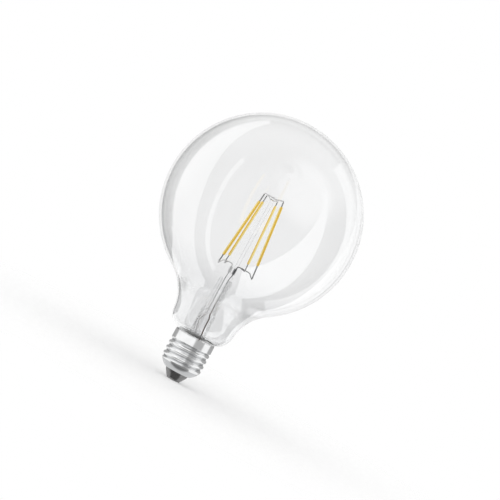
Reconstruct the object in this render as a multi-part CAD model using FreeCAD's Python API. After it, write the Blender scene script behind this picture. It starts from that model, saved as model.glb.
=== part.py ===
import FreeCAD, Part
import os
from math import acos, ceil, cos, hypot, pi, radians, sin, sqrt

# Clear globe bulb with four upright light strips and a 27 mm screw cap.
# Millimetres. Z is the bulb's axis, with the cap below and the globe above. The origin is the centre of
# the end contact's lower face. The front of the bulb looks along -Y and has +X on its right.

# Screw cap
thread_radius = 13.1
thread_pitch = 3.629
knuckle_radius = 1.025
first_crest = 11.1
sheet = 0.3
shell_bottom = 5.7
shell_top = 29.1
lip_radius = 8.4
dome_radius = 12.7
dome_height = 5.8
dome_blend = 0.4
collar_radius = 13.0
collar_length = 5.0
run_out = 0.7
contact_radius = 4.4
contact_thickness = 0.9
contact_edge = 0.35
rivet_radius = 1.0
insulator_foot_radius = 4.8
insulator_waist_radius = 6.9
insulator_waist = 3.2
insulator_step = 0.3
insulator_depth = 2.4

# Globe and neck, blown as one piece, measured up from the cap's rim
globe_radius = 62.0
globe_height = 84.1
glass_wall = 0.7
sweep_radius = 28.5
neck_radius = 20.5
neck_height = 12.0
neck_taper = radians(5.0)
shoulder_radius = 10.8
hollow_radius = 1.2
hollow_drop = 0.5
cement_thickness = 0.4

# Stem, measured up from the neck's seal
stem_radius = 5.15
stem_wall = 0.9
press_start = 20.9
press_full = 26.4
press_top = 43.7
press_width = 14.0
press_thickness = 6.4
press_turn = radians(-60.0)
throat_length = 3.5
exhaust_radius = 1.9
exhaust_wall = 0.7
exhaust_length = 28.0
exhaust_hole = 6.5
post_radius = 1.1
post_length = 57.7
mount_offset = 1.75

# Lead-in wires
lead_spacing = 5.0
outer_lead_radius = 0.35
seal_wire_radius = 0.22
seal_wire_length = 9.5
inner_lead_radius = 0.3
crimp_radius = 0.9
crimp_length = 3.8
crimp_height = 4.4
crimp_reach = 2.9
crimp_shift = 0.5
# Route of each outer lead down the stem: drop below the press and turn from the press's own bearing
lead_route = {
    "left": ((6.2, radians(29.0)), (9.5, radians(20.0)), (14.2, radians(-2.0))),
    "right": ((3.2, radians(5.0)), (9.4, radians(5.0)), (16.9, radians(22.0))),
}
lead_foot_spread = 1.5

# Light strips, each with its bearing round the post, lift, and upper and lower pin lengths
strip_length = 38.8
strip_width = 2.0
strip_thickness = 1.0
strip_height = 12.5
ring_foot_radius = 12.5
ring_head_radius = 7.8
pin_width = 0.8
pin_thickness = 0.3
strips = {
    "front_left": (radians(212.0), 0.0, 5.2, 4.8),
    "back_left": (radians(127.0), 1.0, 4.4, 4.6),
    "front_right": (radians(295.0), 1.7, 2.6, 3.6),
    "back_right": (radians(30.0), 3.4, 2.9, 8.0),
}
arm_radius = 0.28
arm_height = 10.2
arm_sag = 0.5
arm_tail = 1.2
wire_bend = 1.0
bridge_drop = 0.9
bridge_spacing = 1.4
bridge_stub = 0.8
bridge_grip = 1.2

# Driver inside the cap
sleeve_radius = 9.0
sleeve_wall = 0.6
sleeve_length = 13.5
ledge_height = 3.6
ledge_width = 0.8
board_thickness = 1.2
capacitor_radius = 3.15
capacitor_length = 6.6
capacitor_bearing = radians(38.0)
capacitor_groove = 0.4
rectifier = (4.7, 3.9, 2.4)
rectifier_corner = (-7.0, -0.6)
chip = (4.9, 3.9, 1.6)
chip_corner = (-5.3, -5.2)
resistor_radius = 1.2
resistor_length = 5.0
resistor_start = 0.3
hookup_radius = 0.3
pad_inset = 1.0

# Clearance of parts that slip together, and the slack round those that only pass each other
slip = 0.05
slack = 0.3

# Sizes that follow from those above
knuckle_depth = 2 * (knuckle_radius - sqrt(knuckle_radius ** 2 - (thread_pitch / 4) ** 2))
thread_root = thread_radius - knuckle_depth
collar_bottom = shell_top - collar_length
tube_radius = collar_radius - sheet - cement_thickness
seal_height = collar_bottom + stem_wall + slack
insulator_top = shell_bottom + insulator_depth
throat_top = seal_height + press_start + throat_length
press_face = seal_height + press_top
crimp_bottom = press_face + crimp_height
strip_foot = press_face + strip_height
post_top = press_face + post_length
sleeve_inner = sleeve_radius - sleeve_wall
board_bottom = insulator_top + ledge_height
board_top = board_bottom + board_thickness


def vec(x, y, z):
    return FreeCAD.Vector(x, y, z)


def polar(radius, bearing, z):
    return vec(radius * cos(bearing), radius * sin(bearing), z)


def save(shape, name):
    shape.exportStep("parts/" + name + ".step")


def line(start, end):
    return Part.LineSegment(start, end).toShape()


def arc(centre, start, end):
    """Arc about a centre, the short way round, between two points at one distance from it."""
    radius = (start - centre).Length
    middle = (start - centre + end - centre).normalize()
    return Part.Arc(start, centre + middle * radius, end).toShape()


def turned(edges):
    """Solid turned about Z from an outline in the XZ plane."""
    return Part.Face(Part.Wire(edges)).revolve(vec(0, 0, 0), vec(0, 0, 1), 360)


def turned_polygon(points):
    corners = [vec(x, 0, z) for x, z in points]
    return turned([line(a, b) for a, b in zip(corners, corners[1:] + corners[:1])])


def round_path(points, bend):
    """Straight runs through the points, with a tangent arc of up to the bend radius at each corner."""
    edges = []
    start = points[0]
    for before, corner, after in zip(points, points[1:], points[2:]):
        back = (before - corner).normalize()
        ahead = (after - corner).normalize()
        half_angle = acos(max(-1.0, min(1.0, back.dot(ahead)))) / 2
        room = 0.45 * min((before - corner).Length, (after - corner).Length)
        cut = min(room, bend * cos(half_angle) / sin(half_angle))
        centre = corner + (back + ahead).normalize() * (cut / cos(half_angle))
        edges.append(line(start, corner + back * cut))
        edges.append(arc(centre, corner + back * cut, corner + ahead * cut))
        start = corner + ahead * cut
    edges.append(line(start, points[-1]))
    return Part.Wire(edges)


def bent_wire(points, radius, bend=2.0):
    """Round wire along straight runs and tangent arcs."""
    circle = Part.Circle(points[0], points[1] - points[0], radius)
    section = Part.Wire(circle.toShape())
    return round_path(points, bend).makePipeShell([section], True, False)


def bar(start, along, across, width, thickness, length, rounded):
    """Straight bar of a flat section, with its width across and its narrow edges rounded if asked."""
    x, y = width / 2, thickness / 2
    if rounded:
        flat = x - y
        section = [
            line(vec(-flat, -y, 0), vec(flat, -y, 0)),
            Part.Arc(vec(flat, -y, 0), vec(x, 0, 0), vec(flat, y, 0)).toShape(),
            line(vec(flat, y, 0), vec(-flat, y, 0)),
            Part.Arc(vec(-flat, y, 0), vec(-x, 0, 0), vec(-flat, -y, 0)).toShape(),
        ]
    else:
        corners = [vec(-x, -y, 0), vec(x, -y, 0), vec(x, y, 0), vec(-x, y, 0)]
        section = [line(a, b) for a, b in zip(corners, corners[1:] + corners[:1])]
    shape = Part.Face(Part.Wire(section)).extrude(vec(0, 0, length))
    turn = FreeCAD.Rotation(across, along.cross(across), along, "ZXY")
    shape.Placement = FreeCAD.Placement(start, turn)
    return shape


# Screw shell

def knuckle(turns):
    """Height of the thread over its root, so many turns from a crest."""
    away = abs(turns - round(turns)) * thread_pitch
    if away < thread_pitch / 4:
        return knuckle_depth - knuckle_radius + sqrt(knuckle_radius ** 2 - away ** 2)
    return knuckle_radius - sqrt(knuckle_radius ** 2 - (thread_pitch / 2 - away) ** 2)


def dome_centre():
    """Centre of the arc from the lip to the thread, as a radius and a height."""
    reach = thread_radius - lip_radius
    chord = hypot(reach, dome_height)
    rise = sqrt(dome_radius ** 2 - (chord / 2) ** 2)
    x = (lip_radius + thread_radius) / 2 - dome_height / chord * rise
    z = shell_bottom + dome_height / 2 + reach / chord * rise
    return x, z


def dome(z, inset):
    x, centre = dome_centre()
    return x + sqrt((dome_radius - inset) ** 2 - (centre - z) ** 2)


def soft_min(a, b, blend):
    share = max(0.0, min(1.0, 0.5 + (b - a) / (2 * blend)))
    return b + (a - b) * share - blend * share * (1 - share)


def skin(z, bearing, inset):
    """Radius of the shell at a height and bearing, drawn in from its outer face by the inset."""
    threaded = thread_root + knuckle((z - first_crest) / thread_pitch - bearing / (2 * pi))
    share = max(0.0, min(1.0, 1 + (z - collar_bottom) / run_out))
    share = share * share * (3 - 2 * share)
    radius = threaded + (collar_radius - threaded) * share - inset
    if z < dome_centre()[1]:
        return soft_min(radius, dome(z, inset), dome_blend)
    return radius


def skin_surface(inset, around=16, steps_per_pitch=8):
    """Closed surface through rings of points on the skin, from the shell's lower edge to its rim."""
    threaded = collar_bottom - run_out - shell_bottom
    count = ceil(threaded / thread_pitch * steps_per_pitch)
    heights = [shell_bottom + threaded * i / count for i in range(count)]
    heights += [collar_bottom - run_out * i / 4 for i in (4, 3, 2, 1, 0, -1, -2, -4)]
    heights += [(collar_bottom + shell_top) / 2, shell_top]
    turns = [i / around for i in range(around + 1)]
    rings = []
    for z in heights:
        ring = Part.BSplineCurve()
        points = [polar(skin(z, 2 * pi * t, inset), 2 * pi * t, z) for t in turns[:-1]]
        ring.interpolate(Points=points, PeriodicFlag=True, Parameters=turns)
        rings.append(ring)
    ribs = []
    for poles in zip(*[ring.getPoles() for ring in rings]):
        rib = Part.BSplineCurve()
        rib.interpolate(Points=list(poles), Parameters=heights)
        ribs.append(rib)
    surface = Part.BSplineSurface()
    surface.buildFromPolesMultsKnots(
        [rib.getPoles() for rib in ribs],
        rings[0].getMultiplicities(), ribs[0].getMultiplicities(),
        rings[0].getKnots(), ribs[0].getKnots(),
        True, False, rings[0].Degree, ribs[0].Degree)
    return surface.toShape()


def rim_edge(face, z):
    """The edge that closes a skin surface at its lower or upper end."""
    flat = [e for e in face.Edges if e.BoundBox.ZMax - e.BoundBox.ZMin < slip]
    return min(flat, key=lambda e: abs(e.BoundBox.ZMin - z))


def make_screw_shell():
    """One rolled sheet: curved-in lip, knuckle thread and plain collar."""
    outside = skin_surface(0)
    inside = skin_surface(sheet)
    faces = [outside]
    for z in (shell_bottom, shell_top):
        wires = [Part.Wire(rim_edge(face, z)) for face in (outside, inside)]
        faces.append(Part.makeFace(wires, "Part::FaceMakerBullseye"))
    faces[1].reverse()
    inside.reverse()
    shell = Part.Shell(faces + [inside])
    shell.sewShape()
    return Part.Solid(shell)


# Insulator and end contact

def make_insulator():
    """Moulded glass button that closes the shell's lower end and holds the contact."""
    hole = rivet_radius + slip
    mouth = dome(shell_bottom, sheet) - slip
    middle = shell_bottom + insulator_depth / 2
    return turned_polygon([
        (hole, contact_thickness),
        (insulator_foot_radius, contact_thickness),
        (insulator_waist_radius, contact_thickness + insulator_waist),
        (mouth - insulator_step, shell_bottom - slip),
        (mouth, shell_bottom),
        (dome(middle, sheet) - slip, middle),
        (dome(insulator_top, sheet) - slip, insulator_top),
        (hole, insulator_top),
    ])


def cylinder_at(radius, length, z, x=0.0, y=0.0):
    return Part.makeCylinder(radius, length, vec(x, y, z))


def make_contact():
    """Round end contact with the rivet that holds it in the insulator."""
    disc = cylinder_at(contact_radius, contact_thickness, 0)
    lower = [e for e in disc.Edges if e.BoundBox.ZMax < slip]
    disc = disc.makeFillet(contact_edge, lower)
    rivet = cylinder_at(rivet_radius, insulator_top + slack - contact_thickness, contact_thickness)
    return disc.fuse(rivet).removeSplitter()


# Globe

def roll(start, direction, target, distance, upper):
    """Point on a line at a distance from a target, the upper or the lower of the two."""
    along = direction.dot(start - target)
    spare = sqrt(along ** 2 - (start - target).Length ** 2 + distance ** 2)
    return start + direction * (spare - along if upper else -spare - along)


def glass_outline(inset):
    """Globe, sweep, neck, shoulder and tube, from the top of the axis down, drawn in by the inset."""
    up = vec(sin(neck_taper), 0, cos(neck_taper))
    out = vec(cos(neck_taper), 0, -sin(neck_taper))
    neck = vec(neck_radius, 0, shell_top + neck_height)
    globe = vec(0, 0, shell_top + globe_height)
    hollow = vec(tube_radius + hollow_radius, 0, shell_top - hollow_drop)
    sweep = roll(neck + out * sweep_radius, up, globe, globe_radius + sweep_radius, False)
    shoulder = roll(neck - out * shoulder_radius, up, hollow, shoulder_radius + hollow_radius, True)
    top = globe + vec(0, 0, globe_radius - inset)
    globe_end = globe + (sweep - globe).normalize() * (globe_radius - inset)
    sweep_end = sweep - out * (sweep_radius + inset)
    neck_end = shoulder + out * (shoulder_radius - inset)
    shoulder_end = shoulder + (hollow - shoulder).normalize() * (shoulder_radius - inset)
    hollow_end = hollow - vec(hollow_radius + inset, 0, 0)
    tube_end = vec(tube_radius - inset, 0, seal_height)
    return [
        arc(globe, top, globe_end),
        arc(sweep, globe_end, sweep_end),
        line(sweep_end, neck_end),
        arc(shoulder, neck_end, shoulder_end),
        arc(hollow, shoulder_end, hollow_end),
        line(hollow_end, tube_end),
    ]


def make_envelope():
    outside = glass_outline(0)
    inside = glass_outline(glass_wall)
    seal = line(vec(tube_radius, 0, seal_height), vec(tube_radius - glass_wall, 0, seal_height))
    crown = shell_top + globe_height + globe_radius
    pole = line(vec(0, 0, crown - glass_wall), vec(0, 0, crown))
    return turned(outside + [seal] + inside[::-1] + [pole])


def make_cement():
    """Ring of cement between the neck's tube and the collar."""
    bottom = seal_height + slack
    length = shell_top - hollow_drop - slack - bottom
    ring = cylinder_at(tube_radius + cement_thickness - slip, length, bottom)
    return ring.cut(cylinder_at(tube_radius, length, bottom))


# Stem

def in_press(along, z):
    """Point in the press's middle plane, so far along its width."""
    return polar(along, press_turn, z)


def press_section(z):
    ellipse = Part.Ellipse(vec(0, 0, z), press_width / 2, press_thickness / 2)
    ellipse.rotate(FreeCAD.Placement(vec(0, 0, 0), vec(0, 0, 1), press_turn * 180 / pi))
    return Part.Wire(ellipse.toShape())


def make_stem(wires):
    """Flared tube with its upper end pinched flat round the wires."""
    rim = tube_radius - glass_wall
    sweep = rim - stem_radius
    centre = vec(rim, 0, seal_height + sweep)
    start = seal_height + press_start
    inner = stem_radius - stem_wall
    outer_top = vec(stem_radius, 0, start)
    inner_top = vec(inner, 0, start)
    tube = turned([
        line(vec(tube_radius, 0, seal_height), vec(rim, 0, seal_height)),
        arc(centre, vec(rim, 0, seal_height), vec(stem_radius, 0, centre.z)),
        line(vec(stem_radius, 0, centre.z), outer_top),
        line(outer_top, inner_top),
        line(inner_top, vec(inner, 0, centre.z)),
        arc(centre, vec(inner, 0, centre.z), vec(rim, 0, seal_height - stem_wall)),
        line(vec(rim, 0, seal_height - stem_wall), vec(tube_radius, 0, seal_height - stem_wall)),
        line(vec(tube_radius, 0, seal_height - stem_wall), vec(tube_radius, 0, seal_height)),
    ])
    ring = Part.Wire(Part.Circle(vec(0, 0, start), vec(0, 0, 1), stem_radius).toShape())
    full = seal_height + press_full
    pinch = Part.makeLoft([ring, press_section(full)], True, True)
    press = Part.Face(press_section(full)).extrude(vec(0, 0, press_face - full))
    throat = Part.makeCone(inner, exhaust_radius + slip, throat_length, vec(0, 0, start))
    bore_radius = exhaust_radius - exhaust_wall
    bore = cylinder_at(bore_radius, exhaust_hole, throat_top)
    side = vec(0, 0, throat_top + exhaust_hole - bore_radius)
    vent = Part.makeCylinder(bore_radius, press_width, side, polar(1, press_turn + pi / 2, 0))
    return tube.fuse([pinch, press]).cut([throat, bore, vent] + wires)


def make_exhaust_tube():
    """Narrow tube hanging in the stem, melted shut at its lower end."""
    bottom = throat_top - exhaust_length
    outside = cylinder_at(exhaust_radius, exhaust_length - exhaust_radius, bottom + exhaust_radius)
    tip = Part.makeSphere(exhaust_radius, vec(0, 0, bottom + exhaust_radius))
    bore_radius = exhaust_radius - exhaust_wall
    bore = cylinder_at(bore_radius, exhaust_length - exhaust_radius, bottom + exhaust_radius)
    end = Part.makeSphere(bore_radius, vec(0, 0, bottom + exhaust_radius))
    return outside.fuse(tip).cut([bore, end])


def make_post(wires):
    """Glass rod on the press, melted round the bridge wires at its rounded top."""
    rod = cylinder_at(post_radius, post_length - post_radius, press_face, mount_offset)
    crown = Part.makeSphere(post_radius, vec(mount_offset, 0, post_top - post_radius))
    return rod.fuse(crown).cut(wires)


# Lead-in wires, each made of three pieces joined end to end

def side_sign(side):
    return 1 if side == "right" else -1


def lead_foot(side):
    return in_press(side_sign(side) * lead_spacing / 2, throat_top - throat_length)


def crimp_base(side):
    """Foot of the crimp that joins an inner lead to its two arms."""
    return in_press(side_sign(side) * crimp_reach, crimp_bottom) + vec(crimp_shift, 0, 0)


def make_outer_lead(side):
    """Copper lead from the press down through the stem's tube to the driver board."""
    top = lead_foot(side)
    facing = press_turn if side == "right" else press_turn + pi
    wall = stem_radius - stem_wall - outer_lead_radius - slack
    route = [polar(wall, facing + turn, top.z - drop) for drop, turn in lead_route[side]]
    spread = polar(wall + lead_foot_spread, facing + lead_route[side][-1][1], board_top)
    above = vec(spread.x, spread.y, (board_top + seal_height) / 2)
    straight = top - vec(0, 0, 2 * outer_lead_radius)
    return bent_wire([top, straight] + route + [above, spread], outer_lead_radius)


def make_seal_wire(side):
    return Part.makeCylinder(seal_wire_radius, seal_wire_length, lead_foot(side))


def make_inner_lead(side):
    """Stiff lead from the press up into the crimp."""
    foot = lead_foot(side) + vec(0, 0, seal_wire_length)
    base = crimp_base(side)
    points = [
        foot,
        vec(foot.x, foot.y, press_face + 1),
        vec(base.x, base.y, base.z - 1),
        base + vec(0, 0, crimp_length / 2 - slip),
    ]
    return bent_wire(points, inner_lead_radius)


# Light strips and the wires that hold them

def strip_frame(name):
    """Foot, direction and width direction of a strip."""
    bearing, lift, _, _ = strips[name]
    axis = vec(mount_offset, 0, 0)
    foot = axis + polar(ring_foot_radius, bearing, strip_foot + lift)
    fall = sqrt(strip_length ** 2 - (ring_foot_radius - ring_head_radius) ** 2)
    head = axis + polar(ring_head_radius, bearing, strip_foot + lift + fall)
    along = (head - foot).normalize()
    tangent = polar(1, bearing + pi / 2, 0)
    return foot, along, tangent.cross(along).normalize()


def make_strip(name):
    foot, along, across = strip_frame(name)
    return bar(foot, along, across, strip_width, strip_thickness, strip_length, True)


def make_head_pin(name):
    foot, along, across = strip_frame(name)
    length = strips[name][2]
    return bar(foot + along * strip_length, along, across, pin_width, pin_thickness, length, False)


def make_foot_pin(name):
    foot, along, across = strip_frame(name)
    length = strips[name][3]
    return bar(foot - along * length, along, across, pin_width, pin_thickness, length, False)


def pin_top(name):
    foot, along, _ = strip_frame(name)
    return foot + along * (strip_length + strips[name][2])


def pin_bottom(name):
    foot, along, _ = strip_frame(name)
    return foot - along * strips[name][3]


def make_arm(name):
    """Wire from a crimp out and round to the lower pin of a strip."""
    _, along, _ = strip_frame(name)
    end = pin_bottom(name)
    base = crimp_base(name.split("_")[1]) + vec(0, 0, crimp_length / 2 + slip)
    away = vec(end.x - base.x, end.y - base.y, 0).normalize()
    start = base + away * (arm_radius + slip) * sqrt(2)
    reach = vec(end.x - start.x, end.y - start.y, 0)
    crest = vec(start.x, start.y, press_face + arm_height)
    sag = vec(0, 0, arm_sag)
    tail = end - along * arm_tail
    points = [start, crest - sag, crest + reach / 4, crest + reach * 3 / 4 - sag, tail, end]
    return bent_wire(points, arm_radius, wire_bend)


def make_bridge(first, second, height):
    """Wire from one strip's upper pin through the post's top to the other strip's."""
    middle = vec(mount_offset, 0, height)
    halves = []
    for name in (first, second):
        _, along, _ = strip_frame(name)
        tip = pin_top(name)
        level = vec(tip.x, tip.y, height)
        near = middle + (level - middle).normalize() * (post_radius + bridge_grip)
        halves.append([tip, tip + along * bridge_stub, near])
    return bent_wire(halves[0] + halves[1][::-1], arm_radius, wire_bend)


def make_crimp(side, wires):
    """Short metal sleeve pressed round an inner lead and two arms."""
    base = crimp_base(side)
    sleeve = cylinder_at(crimp_radius, crimp_length, base.z, base.x, base.y)
    return sleeve.cut(wires)


# Driver

def make_sleeve():
    """Plastic tube on the insulator, with a ledge for the board and a notch for the shell's wire."""
    tube = cylinder_at(sleeve_radius, sleeve_length, insulator_top)
    tube = tube.cut(cylinder_at(sleeve_inner, sleeve_length, insulator_top))
    ledge = cylinder_at(sleeve_inner, ledge_height, insulator_top)
    ledge = ledge.cut(cylinder_at(sleeve_inner - ledge_width, ledge_height, insulator_top))
    width = 2 * (hookup_radius + slack)
    corner = vec(-sleeve_radius - slack, -width / 2, board_top)
    notch = Part.makeBox(sleeve_radius, width, sleeve_length, corner)
    return tube.fuse(ledge).cut(notch).removeSplitter()


def make_board():
    return cylinder_at(sleeve_inner - slip, board_thickness, board_bottom)


def make_capacitor():
    """Upright can with a rolled groove near its foot."""
    groove = capacitor_groove
    can = turned_polygon([
        (0, 0),
        (capacitor_radius, 0),
        (capacitor_radius, 2 * groove),
        (capacitor_radius - groove, 3 * groove),
        (capacitor_radius, 4 * groove),
        (capacitor_radius, capacitor_length),
        (0, capacitor_length),
    ])
    can.translate(polar(sleeve_inner - slack - capacitor_radius, capacitor_bearing, board_top))
    return can


def make_chip(size, corner):
    return Part.makeBox(*size, vec(corner[0], corner[1], board_top))


def make_resistor():
    """Fusible resistor lying on the board, with its outer end at the sleeve."""
    end = resistor_start + resistor_length
    side = resistor_radius - sqrt((sleeve_inner - slack) ** 2 - end ** 2)
    start = vec(resistor_start, side, board_top + resistor_radius)
    return Part.makeCylinder(resistor_radius, resistor_length, start, vec(1, 0, 0))


def make_contact_wire():
    """Wire from the board's lower face to the contact's rivet."""
    bottom = insulator_top + slack
    return cylinder_at(hookup_radius, board_bottom - bottom, bottom)


def make_shell_wire():
    """Wire from the board out through the sleeve's notch and up along the inside of the thread."""
    reach = thread_root - sheet - hookup_radius - slip
    level = board_top + hookup_radius
    points = [
        vec(pad_inset - sleeve_inner, 0, level),
        vec(-reach, 0, level),
        vec(-reach, 0, collar_bottom - run_out),
    ]
    return bent_wire(points, hookup_radius)


def main():
    os.makedirs("parts", exist_ok=True)
    save(make_screw_shell(), "screw_shell")
    save(make_insulator(), "cap_insulator")
    save(make_contact(), "centre_contact")
    save(make_cement(), "cap_cement")
    save(make_envelope(), "glass_envelope")
    save(make_exhaust_tube(), "exhaust_tube")

    buried = []
    for side in ("left", "right"):
        seal_wire = make_seal_wire(side)
        inner_lead = make_inner_lead(side)
        arms = {name: make_arm(name) for name in strips if name.endswith(side)}
        save(make_outer_lead(side), "outer_lead_" + side)
        save(seal_wire, "seal_wire_" + side)
        save(inner_lead, "inner_lead_" + side)
        save(make_crimp(side, [inner_lead] + list(arms.values())), "lead_crimp_" + side)
        for name, arm in arms.items():
            save(arm, "arm_" + name)
        buried += [seal_wire, inner_lead]
    save(make_stem(buried), "stem_flare")

    for name in strips:
        save(make_strip(name), "light_strip_" + name)
        save(make_head_pin(name), "head_pin_" + name)
        save(make_foot_pin(name), "foot_pin_" + name)
    upper = make_bridge("front_left", "back_right", post_top - bridge_drop)
    lower = make_bridge("back_left", "front_right", post_top - bridge_drop - bridge_spacing)
    save(upper, "bridge_wire_upper")
    save(lower, "bridge_wire_lower")
    save(make_post([upper, lower]), "centre_post")

    save(make_sleeve(), "driver_sleeve")
    save(make_board(), "driver_board")
    save(make_capacitor(), "smoothing_capacitor")
    save(make_chip(rectifier, rectifier_corner), "bridge_rectifier")
    save(make_chip(chip, chip_corner), "driver_chip")
    save(make_resistor(), "fuse_resistor")
    save(make_contact_wire(), "contact_wire")
    save(make_shell_wire(), "shell_wire")


main()
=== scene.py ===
from math import atan2, cos, pi, radians, sin, sqrt

import bmesh
import bpy
import numpy as np
from mathutils import Matrix, Vector


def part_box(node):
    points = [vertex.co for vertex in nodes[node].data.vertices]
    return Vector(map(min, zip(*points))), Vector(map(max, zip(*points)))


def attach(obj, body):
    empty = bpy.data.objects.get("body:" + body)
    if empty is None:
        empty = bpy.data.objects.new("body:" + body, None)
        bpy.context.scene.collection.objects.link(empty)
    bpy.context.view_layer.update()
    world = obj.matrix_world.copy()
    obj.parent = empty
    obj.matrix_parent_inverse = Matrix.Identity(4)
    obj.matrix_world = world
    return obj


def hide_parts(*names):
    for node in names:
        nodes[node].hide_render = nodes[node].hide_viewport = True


# Clear globe bulb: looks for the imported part. Metres, in the part's own frame.
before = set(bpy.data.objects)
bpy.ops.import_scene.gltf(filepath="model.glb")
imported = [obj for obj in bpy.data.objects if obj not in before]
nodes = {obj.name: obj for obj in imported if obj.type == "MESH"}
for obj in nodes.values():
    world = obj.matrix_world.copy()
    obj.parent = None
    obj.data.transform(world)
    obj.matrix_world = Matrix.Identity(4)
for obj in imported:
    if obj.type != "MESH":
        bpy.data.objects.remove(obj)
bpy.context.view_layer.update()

# Glass envelope, as its solid is drawn
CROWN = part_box("glass_envelope")[1].z
GLOBE_RADIUS = (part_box("glass_envelope")[1].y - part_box("glass_envelope")[0].y) / 2
GLOBE_CENTRE = Vector((0, 0, CROWN - GLOBE_RADIUS))
SEAL_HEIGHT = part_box("glass_envelope")[0].z
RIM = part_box("screw_shell")[1].z
TUBE_RADIUS = 0.0123
WALL = 0.0007
SWEEP_RADIUS = 0.0285
NECK_RADIUS = 0.0205
NECK_HEIGHT = 0.0120
NECK_TAPER = radians(5.0)
SHOULDER_RADIUS = 0.0108
HOLLOW_RADIUS = 0.0012
HOLLOW_DROP = 0.0005

# Share of light that passes the stem's glass unbent, and the refractive index of the neck's glass
STEM_FAINTNESS = 0.68
NECK_IOR = 1.75

# Depths below the globe's centre between which the glass turns grey, and the neck's own glass takes over
GREY_DEPTHS = (0.030, 0.055)
NECK_DEPTHS = (0.053, 0.064)

# Light strips: chips along a strip, where its paler edges start across it, and the painted glow of its
# coat, though the strip is unlit
CHIPS = 28
EDGE_START = 0.2
PAINTED_GLOW = 0.2

# Cap
THREAD_RADIUS = 0.0131
THREAD_DEPTH = 0.0011

# Camera, as the photograph shows the bulb: lean in the picture, and the point at the picture's middle
VIEW_DISTANCE = 1.0
VIEW_WIDTH = 0.303
VIEW_LEAN = radians(28.33)
CENTRE_RIGHT = 0.00685
CENTRE_UP = 0.02114
SENSOR = 0.036

# Studio walls: their reach, level and glows for glass, and the opening at the back with its soft edge
STUDIO_RADIUS = 1.2
STUDIO_DARK = 0.11
REAR_GLOW = 0.50
TOP_GLOW = 0.52
BACK_OPENING = radians(32)
OPENING_BLUR = 0.06

# Light panels. Each bends round the view axis through the globe's centre, over a span of clock angles.
# Each of its two edges lies so far behind that centre, and leans so much further back away from a clock
# angle. The globe's near wall mirrors some of them, its far wall the others.
PANEL_REACH = 0.15
NEAR_WALL = "near wall"
FAR_WALL = "far wall"
PANELS = {
    "left_panel": {
        "near": (-0.083, 0.145, 190), "far": (0.016, 0.050, 190), "span": (113, 258),
        "level": 1.2, "wall": NEAR_WALL},
    "lower_left_panel": {
        "near": (0.020, 0.0, 190), "far": (0.030, 2.4, 218), "span": (215, 262),
        "level": 1.15, "wall": NEAR_WALL},
    "right_panel": {
        "near": (0.016, 0.18, -13), "far": (0.114, 0.165, 0), "span": (-80, 58),
        "level": 0.93, "wall": NEAR_WALL},
    "fan_panel": {
        "near": (-0.075, 0.14, 150), "far": (0.018, 0.132, 190), "span": (100, 229),
        "level": 1.8, "wall": FAR_WALL},
    "left_rear_panel": {
        "near": (0.142, 0.0, 180), "far": (0.323, 0.0, 180), "span": (120, 240),
        "level": 1.3, "wall": FAR_WALL},
    "right_strip": {
        "near": (-0.073, 0.16, 5), "far": (-0.051, 0.16, 5), "span": (-45, 78),
        "level": 1.3, "wall": FAR_WALL},
}

# Soft light that the globe's far wall mirrors: its direction from the globe, and its level
GLOW_SIDE = Vector((-0.520, -0.440, -0.732))
GLOW_LEVEL = 1.2

# Pale floor: where its fading starts and ends, and how much of it shows
FLOOR_CLEAR = 0.03
FLOOR_RADIUS = 0.35
FLOOR_SHARE = 0.7

# Soft key light from above, in front and to the left
KEY_PLACE = Vector((-0.4, -0.7, 1.4))
KEY_TARGET = Vector((0, 0, 0.05))
KEY_SIZE = 1.2
KEY_POWER = 3.0

TINY = 1e-6


# Shader expressions

class Signal:
    """One output of a shader node. Arithmetic on it adds Math nodes."""

    def __init__(self, shader, socket):
        self.shader = shader
        self.socket = socket

    def math(self, operation, *values):
        return self.shader.node("ShaderNodeMath", {"operation": operation}, dict(enumerate(values)))

    def __add__(self, other):
        return self.math("ADD", self, other)

    def __sub__(self, other):
        return self.math("SUBTRACT", self, other)

    def __rsub__(self, other):
        return self.math("SUBTRACT", other, self)

    def __mul__(self, other):
        return self.math("MULTIPLY", self, other)

    def __truediv__(self, other):
        return self.math("DIVIDE", self, other)

    def __gt__(self, other):
        return self.math("GREATER_THAN", self, other)

    __radd__ = __add__
    __rmul__ = __mul__

    def power(self, other):
        return self.math("POWER", self, other)

    def angle_from(self, other):
        return self.math("ARCTAN2", self, other)

    def either(self, other):
        return self.math("MAXIMUM", self, other)

    def size(self):
        return self.math("ABSOLUTE", self)

    def wave(self):
        return self.math("SINE", self)


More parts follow.
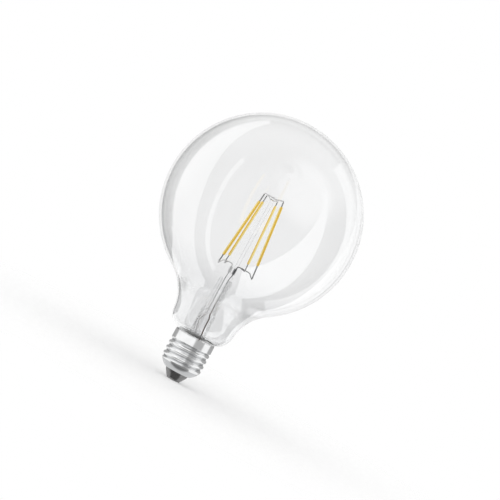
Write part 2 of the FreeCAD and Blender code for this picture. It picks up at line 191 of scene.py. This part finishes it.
class Shader:
    """The node tree of a material or of the world."""

    def __init__(self, owner):
        owner.use_nodes = True
        self.tree = owner.node_tree
        self.tree.nodes.clear()

    def node(self, kind, settings=None, inputs=None, output=0):
        """Adds a node with its settings and socket values or links, and gives one of its outputs."""
        made = self.tree.nodes.new(kind)
        for name, value in (settings or {}).items():
            setattr(made, name, value)
        for name, value in (inputs or {}).items():
            if isinstance(value, Signal):
                self.tree.links.new(value.socket, made.inputs[name])
            else:
                made.inputs[name].default_value = value
        return Signal(self, made.outputs[output])

    def place(self):
        return self.node("ShaderNodeTexCoord", output="Object")

    def axes(self, vector):
        split = self.node("ShaderNodeSeparateXYZ", inputs={0: vector})
        return [Signal(self, socket) for socket in split.socket.node.outputs]

    def noise(self, vector, scale, detail=3.0, roughness=0.5):
        inputs = {"Vector": vector, "Scale": scale, "Detail": detail, "Roughness": roughness}
        return self.node("ShaderNodeTexNoise", inputs=inputs)

    def stretched(self, vector, scale):
        return self.node("ShaderNodeMapping", inputs={"Vector": vector, "Scale": scale})

    def blend(self, factor, first, second):
        """Colour between two, first where the factor is 0."""
        settings = {"data_type": "RGBA"}
        return self.node("ShaderNodeMix", settings, {0: factor, 6: first, 7: second}, output=2)

    def rise(self, value, low, high, start=0.0, end=1.0):
        """Smooth step of a value from low to high."""
        settings = {"interpolation_type": "SMOOTHSTEP"}
        inputs = {0: value, 1: low, 2: high, 3: start, 4: end}
        return self.node("ShaderNodeMapRange", settings, inputs)

    def bump(self, height, distance, strength=1.0):
        inputs = {"Height": height, "Distance": distance, "Strength": strength}
        return self.node("ShaderNodeBump", inputs=inputs)

    def principled(self, **inputs):
        named = {name.replace("_", " "): value for name, value in inputs.items()}
        return self.node("ShaderNodeBsdfPrincipled", inputs=named)

    def finish(self, surface, kind="ShaderNodeOutputMaterial"):
        output = self.tree.nodes.new(kind)
        self.tree.links.new(surface.socket, output.inputs["Surface"])


def new_material(name):
    material = bpy.data.materials.new(name)
    return material, Shader(material)


def grey(level):
    return (level, level, level, 1)


# Finishes

def clear_glass():
    """Blown glass, a little wavy and faintly cool, greyer and more mirroring in the neck."""
    material, s = new_material("clear_glass")
    place = s.place()
    _, _, z = s.axes(place)
    waves = s.noise(place, 16, 1)
    thin = s.blend(s.noise(place, 9, 2), (0.990, 0.990, 0.990, 1), (0.982, 0.986, 0.988, 1))
    depth = GLOBE_CENTRE.z - z
    greying = s.rise(depth, *GREY_DEPTHS)
    neck = s.rise(depth, *NECK_DEPTHS)
    tint = s.blend(greying, thin, (0.940, 0.943, 0.947, 1))
    wavy = s.bump(waves, 0.0002, 0.1)
    globe_glass = s.principled(
        Base_Color=tint, Roughness=0.0, IOR=1.5, Transmission_Weight=1.0, Normal=wavy)
    neck_glass = s.principled(
        Base_Color=(0.962, 0.965, 0.969, 1), Roughness=0.0, IOR=NECK_IOR, Transmission_Weight=1.0,
        Normal=wavy)
    s.finish(s.node("ShaderNodeMixShader", inputs={0: neck, 1: globe_glass, 2: neck_glass}))
    return material


def stem_glass():
    """Stem glass, a little greyer than the globe, with faint drawn streaks."""
    material, s = new_material("stem_glass")
    streaks = s.noise(s.stretched(s.place(), (900, 900, 40)), 1, 3)
    tint = s.blend(s.rise(streaks, 0.35, 0.7), (0.985, 0.985, 0.99, 1), (0.955, 0.955, 0.965, 1))
    glass = s.principled(
        Base_Color=tint, Roughness=0.0, IOR=1.3, Transmission_Weight=1.0,
        Normal=s.bump(streaks, 0.0001, 0.3))
    clear = s.node("ShaderNodeBsdfTransparent")
    s.finish(s.node("ShaderNodeMixShader", inputs={0: STEM_FAINTNESS, 1: glass, 2: clear}))
    return material


def cap_metal():
    """Nickel plate, finely brushed round the cap, rougher in the thread's grooves, where painted shade
    darkens it.
    """
    material, s = new_material("cap_metal")
    place = s.place()
    x, y, z = s.axes(place)
    radius = (x * x + y * y).power(0.5)
    groove = s.rise(radius, THREAD_RADIUS - THREAD_DEPTH * 0.7, THREAD_RADIUS - THREAD_DEPTH)
    brushed = s.noise(s.stretched(place, (60, 60, 9000)), 1, 2)
    cloud = s.noise(place, 260, 4)
    plate = s.blend(s.rise(cloud, 0.3, 0.75), (0.95, 0.955, 0.96, 1), (0.88, 0.885, 0.89, 1))
    # Painted shade: the plate is blended towards dark grey in the thread's grooves.
    painted_groove_shade = s.blend(groove * 0.7, plate, (0.40, 0.41, 0.42, 1))
    s.finish(s.principled(
        Base_Color=painted_groove_shade, Metallic=1.0,
        Roughness=0.10 + cloud * 0.08 + groove * 0.06,
        Normal=s.bump(brushed, 0.00001, 0.3)))
    return material


def black_glass():
    """Glossy black glass with a faint cloudy swirl."""
    material, s = new_material("black_glass")
    place = s.place()
    swirl = s.noise(place, 420, 4, 0.6)
    colour = s.blend(s.rise(swirl, 0.35, 0.75), (0.006, 0.006, 0.006, 1), (0.018, 0.017, 0.017, 1))
    pits = s.noise(place, 1800, 2)
    s.finish(s.principled(
        Base_Color=colour, Roughness=0.08 + swirl * 0.10, IOR=2.6,
        Normal=s.bump(pits, 0.00004, 0.4)))
    return material


def worn_metal(name, colour, dark, roughness, scale, metallic=1.0):
    """Bare metal, cloudily darkened and grained, less metallic where a dull film covers it."""
    material, s = new_material(name)
    place = s.place()
    cloud = s.noise(place, scale, 4, 0.6)
    grain = s.noise(place, scale * 7, 2)
    s.finish(s.principled(
        Base_Color=s.blend(s.rise(cloud, 0.35, 0.7), colour, dark), Metallic=metallic,
        Roughness=roughness + cloud * 0.15,
        Normal=s.bump(grain, 0.00003, 0.5)))
    return material


def contact_metal():
    # The contact's dark grey is painted shade: its metal is darkened as if shaded beneath the cap.
    return worn_metal("contact_metal", (0.30, 0.30, 0.30, 1), (0.18, 0.18, 0.18, 1), 0.35, 500)


def can_metal():
    return worn_metal("can_metal", (0.80, 0.81, 0.82, 1), (0.62, 0.63, 0.65, 1), 0.25, 400)


def copper():
    return worn_metal("copper", (0.30, 0.21, 0.17, 1), (0.16, 0.12, 0.10, 1), 0.35, 700)


def lead_metal():
    """Nickel wire, with painted highlights that turn it pale and less metallic at the top, on the left
    above the press and on the right below it, and unevenly darkened where the press was heated.
    """
    material, s = new_material("lead_metal")
    place = s.place()
    x, _, z = s.axes(place)
    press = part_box("stem_flare")[1].z
    # Painted highlights: pale patches set by side and height, on the left above the press, on the right
    # below it, and at the top.
    left = s.rise(x, 0.001, -0.0005)
    above = s.rise(z, press - 0.004, press + 0.004)
    top = s.rise(z, press + 0.012, press + 0.030)
    painted_highlight = (left * above * 0.9).either((1 - left) * (1 - above) * 0.7).either(top * 0.6)
    cloud = s.noise(place, 600, 4, 0.6)
    wire = s.blend(cloud, (0.46, 0.46, 0.47, 1), (0.32, 0.32, 0.33, 1))
    s.finish(s.principled(
        Base_Color=s.blend(painted_highlight, wire, (0.88, 0.88, 0.88, 1)), Metallic=1 - painted_highlight * 0.8,
        Roughness=0.30 + cloud * 0.15, Normal=s.bump(cloud, 0.00003, 0.5)))
    return material


def pin_metal():
    return worn_metal("pin_metal", (0.56, 0.56, 0.56, 1), (0.34, 0.34, 0.35, 1), 0.35, 900, 0.6)


def matt(name, colour, patch, roughness, scale, depth):
    """Dull moulded or poured stuff with cloudy colour and a grained surface."""
    material, s = new_material(name)
    place = s.place()
    cloud = s.noise(place, scale, 4, 0.6)
    grain = s.noise(place, scale * 9, 2)
    s.finish(s.principled(
        Base_Color=s.blend(cloud, colour, patch), Roughness=roughness + cloud * 0.12,
        Normal=s.bump(grain, depth, 0.6)))
    return material


def cement():
    return matt("cement", (0.86, 0.85, 0.81, 1), (0.76, 0.74, 0.70, 1), 0.75, 500, 0.00006)


def white_plastic():
    return matt("white_plastic", (0.84, 0.84, 0.82, 1), (0.80, 0.80, 0.78, 1), 0.38, 300, 0.00002)


def black_plastic():
    return matt("black_plastic", (0.018, 0.018, 0.019, 1), (0.030, 0.030, 0.032, 1), 0.42, 900, 0.00002)


def board():
    """Green lacquered board with paler copper areas under the lacquer."""
    material, s = new_material("board")
    place = s.place()
    cells = s.node("ShaderNodeTexVoronoi", {"distance": "MANHATTAN"}, {"Vector": place, "Scale": 260})
    tracks = s.rise(cells, 0.30, 0.34)
    colour = s.blend(tracks, (0.05, 0.22, 0.10, 1), (0.03, 0.14, 0.07, 1))
    s.finish(s.principled(
        Base_Color=colour, Roughness=0.30 + s.noise(place, 700) * 0.1,
        Normal=s.bump(tracks, 0.00004, 0.4)))
    return material


def resistor_coat():
    """Lacquered resistor body with coloured bands along its length."""
    material, s = new_material("resistor_coat")
    x, _, _ = s.axes(s.place())
    low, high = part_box("fuse_resistor")
    along = (x - low.x) / (high.x - low.x)
    ramp = s.node("ShaderNodeValToRGB", inputs={0: along})
    stops = ramp.socket.node.color_ramp
    stops.interpolation = "CONSTANT"
    body = (0.36, 0.44, 0.40, 1)
    bands = {0.18: (0.30, 0.10, 0.05, 1), 0.38: (0.02, 0.02, 0.02, 1), 0.58: (0.02, 0.02, 0.02, 1),
             0.78: (0.55, 0.42, 0.12, 1)}
    stops.elements[0].color = body
    stops.elements[1].position = 0.97
    stops.elements[1].color = body
    for start, colour in bands.items():
        stops.elements.new(start).color = colour
        stops.elements.new(start + 0.08).color = body
    coat = s.noise(s.place(), 900)
    s.finish(s.principled(Base_Color=ramp, Roughness=0.3 + coat * 0.1, Normal=s.bump(coat, 0.00002, 0.5)))
    return material


def phosphor():
    """Amber silicone coat over a row of chips, paler at its edges. It has a little painted glow, though
    the strip is unlit.
    """
    material, s = new_material("phosphor")
    local = s.node("ShaderNodeAttribute", {"attribute_name": "strip"}, output="Vector")
    across, _, along = s.axes(local)
    grain = s.noise(s.place(), 2600, 3)
    edge = s.rise(across.size(), EDGE_START, 1.0)
    chips = (along * (CHIPS * pi)).wave()
    core = s.blend(s.rise(chips, -0.4, 0.6), (0.77, 0.46, 0.022, 1), (0.84, 0.53, 0.035, 1))
    mottled = s.blend(s.rise(grain, 0.35, 0.7) * 0.35, core, (0.90, 0.60, 0.08, 1))
    colour = s.blend(edge, mottled, (0.98, 0.80, 0.30, 1))
    # Painted light: the coat glows in its own colour though the strip is unlit.
    s.finish(s.principled(
        Base_Color=colour, Roughness=0.42 + grain * 0.12, Emission_Color=colour,
        Emission_Strength=PAINTED_GLOW, Normal=s.bump(grain, 0.00004, 0.6)))
    return material


# Shapes

def new_piece(bm, name, material):
    """Turns a bmesh into an object with one material."""
    mesh = bpy.data.meshes.new(name)
    bm.to_mesh(mesh)
    bm.free()
    mesh.materials.append(material)
    piece = bpy.data.objects.new(name, mesh)
    bpy.context.scene.collection.objects.link(piece)
    return piece


def finish_piece(bm, name, material, slot, *replaced):
    """Turns a bmesh into a smooth piece that rides on the bulb and stands for its solids."""
    for face in bm.faces:
        face.smooth = True
    piece = new_piece(bm, name, material)
    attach(piece, "root")
    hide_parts(*replaced)
    return piece


def spin(bm, geom, centre, axis, angle, steps, merge=False):
    made = bmesh.ops.spin(
        bm, geom=geom, cent=centre, axis=axis, dvec=(0, 0, 0), angle=angle, steps=steps,
        use_merge=merge, use_normal_flip=False, use_duplicate=False)
    return made["geom_last"]


def draw_arc(bm, pen, centre, end, steps):
    """Carries the outline's last vertex round a centre in the XZ plane to an end."""
    start, finish = pen.co - centre, end - centre
    angle = atan2(start.cross(finish).y, start.dot(finish))
    return spin(bm, [pen], centre, (0, 1, 0), angle, steps)[0]


def draw_line(bm, pen, end):
    made = bmesh.ops.extrude_vert_indiv(bm, verts=[pen])
    made["verts"][0].co = end
    return made["verts"][0]


def roll(start, direction, target, distance, upper):
    """Point on a line at a distance from a target, the upper or the lower of the two."""
    along = direction.dot(start - target)
    spare = sqrt(along ** 2 - (start - target).length_squared + distance ** 2)
    return start + direction * (spare - along if upper else -spare - along)


def make_envelope(material):
    """Globe, sweep, neck, shoulder and tube, turned as one skin and then given its wall."""
    up = Vector((sin(NECK_TAPER), 0, cos(NECK_TAPER)))
    out = Vector((cos(NECK_TAPER), 0, -sin(NECK_TAPER)))
    neck = Vector((NECK_RADIUS, 0, RIM + NECK_HEIGHT))
    hollow = Vector((TUBE_RADIUS + HOLLOW_RADIUS, 0, RIM - HOLLOW_DROP))
    sweep = roll(neck + out * SWEEP_RADIUS, up, GLOBE_CENTRE, GLOBE_RADIUS + SWEEP_RADIUS, False)
    shoulder = roll(neck - out * SHOULDER_RADIUS, up, hollow, SHOULDER_RADIUS + HOLLOW_RADIUS, True)
    globe_end = GLOBE_CENTRE + (sweep - GLOBE_CENTRE).normalized() * GLOBE_RADIUS
    neck_end = shoulder + out * SHOULDER_RADIUS
    shoulder_end = shoulder + (hollow - shoulder).normalized() * SHOULDER_RADIUS

    bm = bmesh.new()
    pen = bm.verts.new((0, 0, CROWN))
    pen = draw_arc(bm, pen, GLOBE_CENTRE, globe_end, 96)
    pen = draw_arc(bm, pen, sweep, sweep - out * SWEEP_RADIUS, 24)
    pen = draw_line(bm, pen, neck_end)
    pen = draw_arc(bm, pen, shoulder, shoulder_end, 18)
    pen = draw_arc(bm, pen, hollow, Vector((TUBE_RADIUS, 0, hollow.z)), 8)
    draw_line(bm, pen, Vector((TUBE_RADIUS, 0, SEAL_HEIGHT)))
    spin(bm, bm.verts[:] + bm.edges[:], (0, 0, 0), (0, 0, 1), 2 * pi, 192, True)
    bmesh.ops.remove_doubles(bm, verts=bm.verts, dist=TINY)
    bmesh.ops.recalc_face_normals(bm, faces=bm.faces)
    bmesh.ops.solidify(bm, geom=bm.verts[:] + bm.edges[:] + bm.faces[:], thickness=WALL)
    return finish_piece(bm, "clear_globe", material, "clear_glass", "glass_envelope")


def solid_axes(node):
    """Middle, length direction, width direction, thickness direction and half sizes of a straight bar."""
    points = np.array([v.co for v in nodes[node].data.vertices])
    middle = (points.min(0) + points.max(0)) / 2
    _, _, rows = np.linalg.svd(points - points.mean(0), full_matrices=False)
    spans = [(points - middle) @ row for row in rows]
    halves = [(span.max() - span.min()) / 2 for span in spans]
    centre = middle + sum(row * (span.max() + span.min()) / 2 for row, span in zip(rows, spans))
    return Vector(centre), [Vector(row) for row in rows], halves


def climb(edge):
    """Height between an edge's two ends."""
    first, second = edge.verts
    return abs(first.co.z - second.co.z)


def make_strip(name, material):
    """Strip with rounded edges, whose vertices keep their place across and along it."""
    node = "light_strip_" + name
    centre, (along, across, through), (length, width, depth) = solid_axes(node)
    if along.z < 0:
        along = -along
    through = along.cross(across)
    bm = bmesh.new()
    bmesh.ops.create_cube(bm, size=2)
    bmesh.ops.scale(bm, vec=(width, depth, length), verts=bm.verts)
    long_edges = [edge for edge in bm.edges if climb(edge) > length]
    bmesh.ops.bevel(
        bm, geom=long_edges, offset=depth * 0.9, offset_type="OFFSET", segments=6, profile=0.5,
        affect="EDGES", material=-1)
    rims = [edge for edge in bm.edges if climb(edge) < TINY and abs(edge.verts[0].co.z) > length - TINY]
    bmesh.ops.bevel(
        bm, geom=rims, offset=depth * 0.5, offset_type="OFFSET", segments=3, profile=0.5,
        affect="EDGES", material=-1)
    layer = bm.verts.layers.float_vector.new("strip")
    for vertex in bm.verts:
        x, y, z = vertex.co
        vertex[layer] = (x / width, y / depth, z / length)
    turn = Matrix((across, through, along)).transposed().to_4x4()
    bmesh.ops.transform(bm, matrix=Matrix.Translation(centre) @ turn, verts=bm.verts)
    bmesh.ops.recalc_face_normals(bm, faces=bm.faces)
    return finish_piece(bm, "coated_strip_" + name, material, "phosphor", node)


# Studio

def path_output(s, name):
    return s.node("ShaderNodeLightPath", output=name)


def mirrored(s):
    """1 on a camera's path of light that a piece of the bulb has mirrored, else 0."""
    from_floor = path_output(s, "Diffuse Depth") > 0.5
    return (path_output(s, "Glossy Depth") > 0.5) * (1 - from_floor)


def far_wall(s):
    """1 on a path of light that the globe's far wall has mirrored, else 0."""
    return path_output(s, "Transmission Depth") > 3


def studio_only(piece):
    """Shows a stage piece only where the bulb mirrors or bends light towards it."""
    for kind in ("camera", "diffuse", "volume_scatter", "shadow"):
        setattr(piece, "visible_" + kind, False)


def panel_material(name, level, wall):
    """Light that only glass mirrors, and of the globe only its near or its far wall."""
    material, s = new_material(name)
    seen = far_wall(s) if wall == FAR_WALL else 1 - far_wall(s)
    light = s.node("ShaderNodeEmission", inputs={"Color": grey(1), "Strength": level})
    clear = s.node("ShaderNodeBsdfTransparent")
    solid = mirrored(s) * path_output(s, "Is Singular Ray") * seen
    s.finish(s.node("ShaderNodeMixShader", inputs={0: solid, 1: clear, 2: light}))
    material.cycles.emission_sampling = "NONE"
    return material


def make_panel(name, shape):
    """Curved light panel round the view axis."""
    near, far = shape["near"], shape["far"]
    first, last = [radians(clock) for clock in shape["span"]]
    bm = bmesh.new()
    arm = Vector((PANEL_REACH * cos(first), 0, PANEL_REACH * sin(first)))
    ends = [bm.verts.new(GLOBE_CENTRE + arm + Vector((0, place, 0))) for place, _, _ in (near, far)]
    edge = bm.edges.new(ends)
    spin(bm, ends + [edge], GLOBE_CENTRE, (0, -1, 0), last - first, 48)
    for vertex in bm.verts:
        around = vertex.co - GLOBE_CENTRE
        _, lean, upright = near if around.y < (near[0] + far[0]) / 2 else far
        vertex.co.y += lean * (1 - cos(atan2(around.z, around.x) - radians(upright)))
    studio_only(new_piece(bm, name, panel_material(name, shape["level"], shape["wall"])))


def glass_light(s, aside, behind, height):
    """Dark walls with a glow at the right and above, and one for the globe's far wall alone."""
    far = far_wall(s)
    upper = height * (1 - far * 2)
    right = s.rise(aside, -0.2, 0.6) * s.rise(upper, -0.5, 0.0) * s.rise(behind, -0.1, 0.5) * REAR_GLOW
    top = s.rise(upper, 0.3, 0.7) * s.rise(behind, -0.5, 0.5) * TOP_GLOW
    toward_glow = aside * GLOW_SIDE.x + behind * GLOW_SIDE.y + height * GLOW_SIDE.z
    return STUDIO_DARK + right.either(top) + s.rise(toward_glow, 0.70, 0.95) * far * GLOW_LEVEL


def metal_light(s, aside, behind, height):
    """Pale walls with a grey band right of the front, grey sides and grey below the front."""
    bearing = aside.angle_from(0 - behind)
    low = s.rise(height, -0.25, -0.50)
    band = s.rise(bearing, 0.12, 0.28) * s.rise(bearing, 1.2, 1.05) * 0.55
    sides = s.rise(bearing.size(), 1.8, 2.0) * (1 - low) * 0.6
    front = low * s.rise(behind, 0.05, -0.10)
    below = (low * 0.05).either(front * s.rise(aside, -0.85, -0.60) * s.rise(aside, 0.62, 0.54) * 0.75)
    lower_right = front * s.rise(aside, 0.54, 0.62) * 1.1
    return (1 - band.either(sides).either(below)).either(lower_right)


def studio_material():
    """Walls with one light for glass, open at the back, and another for metal."""
    material, s = new_material("studio_wall")
    x, y, z = s.axes(s.place())
    aside, behind, height = x / STUDIO_RADIUS, y / STUDIO_RADIUS, (z - GLOBE_CENTRE.z) / STUDIO_RADIUS
    glass = path_output(s, "Is Singular Ray")
    for_metal = metal_light(s, aside, behind, height)
    level = for_metal + (glass_light(s, aside, behind, height) - for_metal) * glass
    opening = s.rise(behind, cos(BACK_OPENING + OPENING_BLUR), cos(BACK_OPENING - OPENING_BLUR))
    light = s.node("ShaderNodeEmission", inputs={"Strength": level})
    clear = s.node("ShaderNodeBsdfTransparent")
    solid = mirrored(s) * (1 - opening * glass)
    s.finish(s.node("ShaderNodeMixShader", inputs={0: solid, 1: clear, 2: light}))
    material.cycles.emission_sampling = "NONE"
    return material


def make_studio():
    bm = bmesh.new()
    bmesh.ops.create_uvsphere(bm, u_segments=48, v_segments=24, radius=STUDIO_RADIUS)
    bmesh.ops.translate(bm, vec=GLOBE_CENTRE, verts=bm.verts)
    studio_only(new_piece(bm, "studio_wall", studio_material()))
    for name, shape in PANELS.items():
        make_panel(name, shape)


def floor_material():
    """Pale floor that fades into the backdrop away from the bulb."""
    material, s = new_material("pale_floor")
    x, y, _ = s.axes(s.place())
    away = (x * x + y * y).power(0.5)
    grain = s.noise(s.place(), 60)
    near = s.rise(away, FLOOR_RADIUS, FLOOR_CLEAR) * FLOOR_SHARE * (1 - mirrored(s))
    paint = s.node("ShaderNodeBsdfDiffuse", inputs={
        "Color": s.blend(grain, grey(0.92), grey(0.94))})
    clear = s.node("ShaderNodeBsdfTransparent")
    s.finish(s.node("ShaderNodeMixShader", inputs={0: near, 1: clear, 2: paint}))
    return material


def make_floor():
    bm = bmesh.new()
    bmesh.ops.create_circle(bm, cap_ends=True, segments=96, radius=FLOOR_RADIUS)
    new_piece(bm, "pale_floor", floor_material())


def make_world():
    """White backdrop that lights the bulb evenly from all sides."""
    world = bpy.data.worlds.new("white_backdrop")
    s = Shader(world)
    s.finish(s.node("ShaderNodeBackground", inputs={"Color": grey(1), "Strength": 1.0}),
             "ShaderNodeOutputWorld")
    world.cycles.sampling_method = "NONE"
    bpy.context.scene.world = world


def aim(piece, place, target):
    piece.location = place
    piece.rotation_euler = (target - place).to_track_quat("-Z", "Y").to_euler()
    bpy.context.scene.collection.objects.link(piece)


def make_key():
    light = bpy.data.lights.new("key_light", "AREA")
    light.shape = "DISK"
    light.size = KEY_SIZE
    light.energy = KEY_POWER
    lamp = bpy.data.objects.new("key_light", light)
    aim(lamp, KEY_PLACE, KEY_TARGET)
    for kind in ("camera", "glossy", "transmission"):
        setattr(lamp, "visible_" + kind, False)


def make_camera():
    """Level view along +Y, rolled so that the bulb leans to the right."""
    right = Vector((cos(VIEW_LEAN), 0, sin(VIEW_LEAN)))
    up = Vector((-sin(VIEW_LEAN), 0, cos(VIEW_LEAN)))
    back = Vector((0, -1, 0))
    middle = GLOBE_CENTRE - right * CENTRE_RIGHT - up * CENTRE_UP
    data = bpy.data.cameras.new("view")
    data.sensor_width = SENSOR * 1000
    data.lens = SENSOR * 1000 * VIEW_DISTANCE / VIEW_WIDTH
    camera = bpy.data.objects.new("view", data)
    camera.matrix_world = Matrix.Translation(middle + back * VIEW_DISTANCE) @ Matrix(
        (right, up, back)).transposed().to_4x4()
    bpy.context.scene.collection.objects.link(camera)
    bpy.context.scene.camera = camera


def dress_solids(finishes):
    """Gives each solid the finish of its material slot. Clear glass casts no shadow."""
    for solid in nodes.values():
        for held in solid.material_slots:
            slot = held.material.name.split(".")[0]
            held.material = finishes[slot]
            solid.visible_shadow = slot not in ("clear_glass", "stem_glass")


def main():
    makers = (
        clear_glass, stem_glass, cap_metal, black_glass, contact_metal, cement, white_plastic, board,
        can_metal, black_plastic, resistor_coat, copper, lead_metal, pin_metal, phosphor)
    finishes = {maker.__name__: maker() for maker in makers}
    dress_solids(finishes)
    make_envelope(finishes["clear_glass"]).visible_shadow = False
    for name in ("front_left", "back_left", "front_right", "back_right"):
        make_strip(name, finishes["phosphor"])
    make_world()
    make_studio()
    make_floor()
    make_key()
    make_camera()
    bpy.context.scene.view_settings.view_transform = "Standard"


main()
bpy.context.view_layer.update()
